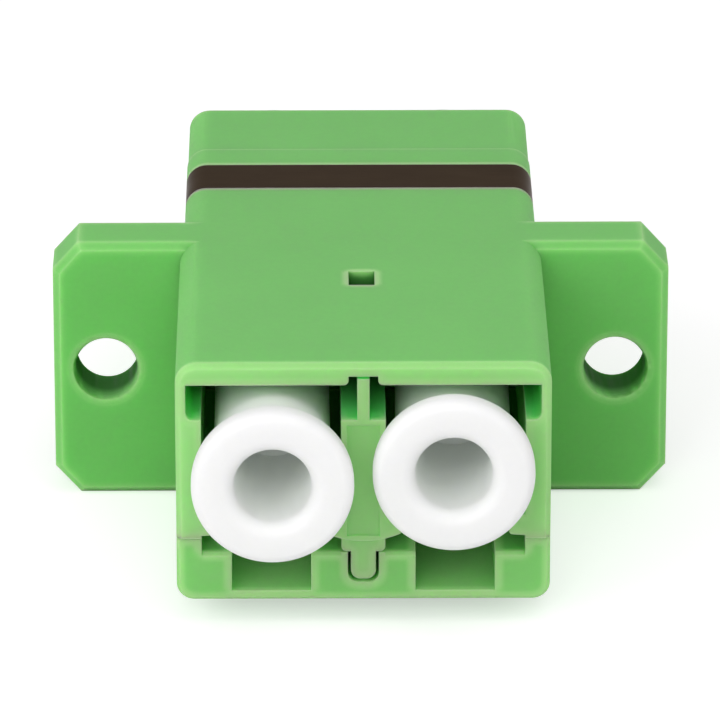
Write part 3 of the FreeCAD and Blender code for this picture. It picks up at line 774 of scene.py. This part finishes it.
def seen_directly(tree):
    """Output that is 1 for what the camera sees directly, in a reflection or through something clear."""
    path = tree.nodes.new("ShaderNodeLightPath")
    either = new_node(tree, "ShaderNodeMath", operation="MAXIMUM")
    tree.links.new(path.outputs["Is Camera Ray"], either.inputs[0])
    tree.links.new(path.outputs["Is Glossy Ray"], either.inputs[1])
    any_of = new_node(tree, "ShaderNodeMath", operation="MAXIMUM")
    tree.links.new(either.outputs[0], any_of.inputs[0])
    tree.links.new(path.outputs["Is Transmission Ray"], any_of.inputs[1])
    return any_of.outputs[0]


def white_surroundings():
    stage = bpy.context.scene.adapter_stage
    world = bpy.data.worlds.new("white_surroundings")
    world.use_nodes = True
    tree = world.node_tree
    light = tree.nodes["Background"]
    light.inputs["Color"].default_value = (1, 1, 1, 1)
    light.inputs["Strength"].default_value = stage.sky_strength
    plain = new_node(tree, "ShaderNodeBackground")
    plain.inputs["Color"].default_value = (1, 1, 1, 1)
    mix = tree.nodes.new("ShaderNodeMixShader")
    tree.links.new(seen_directly(tree), mix.inputs["Fac"])
    tree.links.new(light.outputs[0], mix.inputs[1])
    tree.links.new(plain.outputs[0], mix.inputs[2])
    tree.links.new(mix.outputs[0], tree.nodes["World Output"].inputs["Surface"])
    return world


def aim(obj, target):
    """Turns an object so that it looks at a point, upright."""
    obj.rotation_euler = (target - obj.location).to_track_quat("-Z", "Y").to_euler()


def soft_lamp(name, azimuth, elevation, distance, size, power):
    """Square area lamp on a sphere round the adapter; azimuth is counted from the front, leftwards."""
    azimuth, elevation = math.radians(azimuth), math.radians(elevation)
    away = Vector((-math.sin(azimuth) * math.cos(elevation), -math.cos(azimuth) * math.cos(elevation),
                   math.sin(elevation)))
    light = bpy.data.lights.new(name, "AREA")
    light.size = size
    light.energy = power
    lamp = bpy.data.objects.new(name, light)
    bpy.context.scene.collection.objects.link(lamp)
    lamp.location = LAMP_CENTRE + away * distance
    aim(lamp, LAMP_CENTRE)
    return lamp


# ---------------------------------------------------------------- operators

class ADAPTER_OT_housing(bpy.types.Operator):
    """Give the housing a smooth green skin"""
    bl_idname = "adapter.housing"
    bl_label = "Housing"

    def execute(self, context):
        material, detail = moulded_green("housing_green", 0.85, 1.0)
        paint_screw_hole_shade(detail)
        give(skin_of("housing", "adapter"), material)
        return {"FINISHED"}


class ADAPTER_OT_cover(bpy.types.Operator):
    """Give the bottom cover a smooth green skin"""
    bl_idname = "adapter.cover"
    bl_label = "Bottom Cover"

    def execute(self, context):
        material, detail = moulded_green("cover_green", 0.36, 0.0)
        paint_channel_glow(material, detail)
        give(skin_of("bottom_cover", "adapter"), material)
        return {"FINISHED"}


class ADAPTER_OT_holders(bpy.types.Operator):
    """Give both sleeve holders smooth green skins"""
    bl_idname = "adapter.holders"
    bl_label = "Sleeve Holders"

    def execute(self, context):
        material, detail = moulded_green("holder_green", 0.0, 0.2)
        for name in ("front_sleeve_holder", "rear_sleeve_holder"):
            give(skin_of(name, "adapter"), material)
        return {"FINISHED"}


class ADAPTER_OT_sleeves(bpy.types.Operator):
    """Give both split sleeves smooth ceramic skins"""
    bl_idname = "adapter.sleeves"
    bl_label = "Split Sleeves"

    def execute(self, context):
        ceramic = zirconia()
        for name in ("left_sleeve", "right_sleeve"):
            give(skin_of(name, "adapter"), ceramic)
        return {"FINISHED"}


class ADAPTER_OT_clip(bpy.types.Operator):
    """Give the panel clip a smooth skin of dark steel"""
    bl_idname = "adapter.clip"
    bl_label = "Panel Clip"

    def execute(self, context):
        give(skin_of("panel_clip", "adapter"), dark_steel())
        return {"FINISHED"}


class ADAPTER_OT_plugs(bpy.types.Operator):
    """Turn the four dust plugs"""
    bl_idname = "adapter.plugs"
    bl_label = "Dust Plugs"

    def execute(self, context):
        plastic = soft_white()
        for name in PLUGS:
            give(turned_plug(name), plastic)
        return {"FINISHED"}


class ADAPTER_OT_stage(bpy.types.Operator):
    """Set up the floor, the surroundings, the lamps and the camera"""
    bl_idname = "adapter.stage"
    bl_label = "Stage"

    def execute(self, context):
        stage = context.scene.adapter_stage
        context.scene.view_settings.view_transform = "Standard"
        context.scene.world = white_surroundings()
        deselect_all()
        bpy.ops.mesh.primitive_plane_add(size=3.0, location=(0, 0, CAD_BOUNDS[0][2] - FLOOR_GAP))
        floor = context.object
        floor.name = "floor"
        bpy.ops.object.transform_apply(location=True, rotation=True, scale=True)
        give(floor, white_paper())
        for name, azimuth, elevation, distance, size, power in LAMPS:
            soft_lamp(name, azimuth, elevation, distance, size, getattr(stage, power))
        camera = bpy.data.objects.new("camera", bpy.data.cameras.new("camera"))
        context.scene.collection.objects.link(camera)
        camera.data.lens = stage.lens
        camera.data.sensor_width = 36
        camera.data.clip_start = 0.01
        target = Vector(stage.target)
        level = math.cos(stage.elevation)
        ahead = Vector((math.sin(stage.azimuth) * level, math.cos(stage.azimuth) * level,
                        -math.sin(stage.elevation)))
        camera.location = target - ahead * stage.distance
        aim(camera, target)
        context.scene.camera = camera
        return {"FINISHED"}


class ADAPTER_PT_sidebar(bpy.types.Panel):
    """Builds the adapter's pieces and lists their sizes and colours"""
    bl_idname = "ADAPTER_PT_sidebar"
    bl_label = "Duplex Fibre Adapter"
    bl_space_type = "VIEW_3D"
    bl_region_type = "UI"
    bl_category = "Adapter"

    def draw(self, context):
        scene = context.scene
        for group in (scene.adapter_finishes, scene.adapter_sizes, scene.adapter_stage):
            column = self.layout.column(align=True)
            for name in group.__annotations__:
                column.prop(group, name)
        column = self.layout.column(align=True)
        for operator in OPERATORS:
            column.operator(operator.bl_idname)


GROUPS = (AdapterFinishes, AdapterSizes, AdapterStage)
OPERATORS = (ADAPTER_OT_housing, ADAPTER_OT_cover, ADAPTER_OT_holders, ADAPTER_OT_sleeves, ADAPTER_OT_clip,
             ADAPTER_OT_plugs, ADAPTER_OT_stage)


def register():
    for cls in GROUPS + OPERATORS + (ADAPTER_PT_sidebar,):
        bpy.utils.register_class(cls)
    bpy.types.Scene.adapter_finishes = bpy.props.PointerProperty(type=AdapterFinishes)
    bpy.types.Scene.adapter_sizes = bpy.props.PointerProperty(type=AdapterSizes)
    bpy.types.Scene.adapter_stage = bpy.props.PointerProperty(type=AdapterStage)


def unregister():
    del bpy.types.Scene.adapter_stage
    del bpy.types.Scene.adapter_sizes
    del bpy.types.Scene.adapter_finishes
    for cls in reversed(GROUPS + OPERATORS + (ADAPTER_PT_sidebar,)):
        bpy.utils.unregister_class(cls)


def main():
    register()
    bpy.ops.adapter.stage()
    bpy.ops.adapter.housing()
    bpy.ops.adapter.cover()
    bpy.ops.adapter.holders()
    bpy.ops.adapter.sleeves()
    bpy.ops.adapter.clip()
    bpy.ops.adapter.plugs()


if __name__ == "__main__":
    main()
